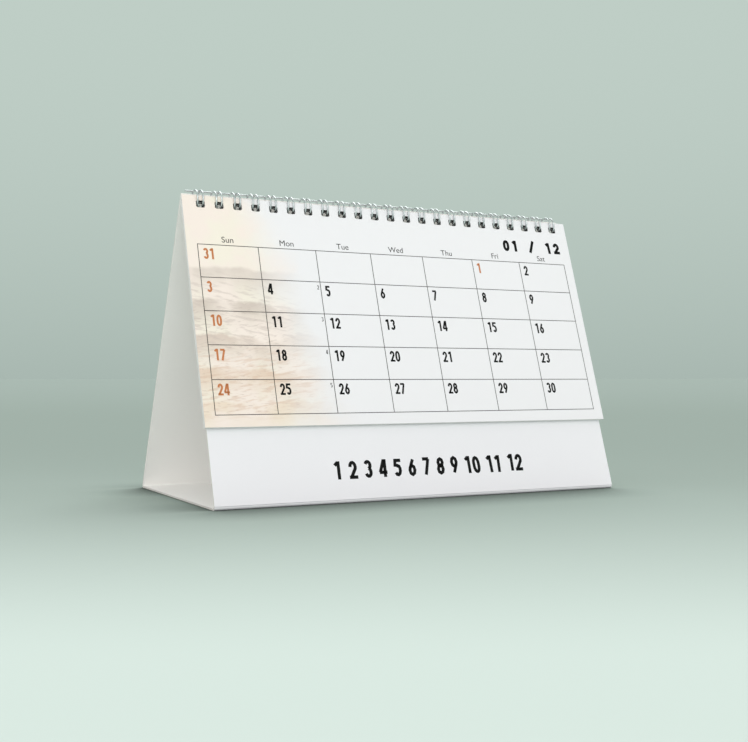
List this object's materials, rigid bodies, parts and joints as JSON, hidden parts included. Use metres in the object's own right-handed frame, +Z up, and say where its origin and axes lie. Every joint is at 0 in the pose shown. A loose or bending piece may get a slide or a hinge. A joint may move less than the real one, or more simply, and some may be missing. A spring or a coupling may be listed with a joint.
{
  "type": "desk calendar",
  "caption": "Freestanding desk calendar: a tent of folded white card carries a stack of monthly leaves, bound along its top edge by a twin-loop wire that the leaves flip over.",
  "frame": {"origin": "on the table, under the middle of the stand's base", "axes": "+X along the binding wire, to the right of the person who reads the calendar; +Y away from that person; +Z up"},
  "size_m": [0.2026, 0.105, 0.1348],
  "materials": {
    "card": "smooth white laminated card, matt",
    "leaf_paper": "smooth uncoated white paper",
    "wire": "silver coated steel wire, satin"
  },
  "bodies": {
    "root": {"stand": "card", "binding_wire": "wire"},
    "leaf_stack": {"leaves": "leaf_paper"}
  },
  "joints": [
    {"name": "leaf_turn", "type": "hinge", "parent": "root", "child": "leaf_stack", "pos_m": [0, -0.00987, 0.13018], "axis": [-1, 0, 0], "range_deg": [0, 80]}
  ]
}
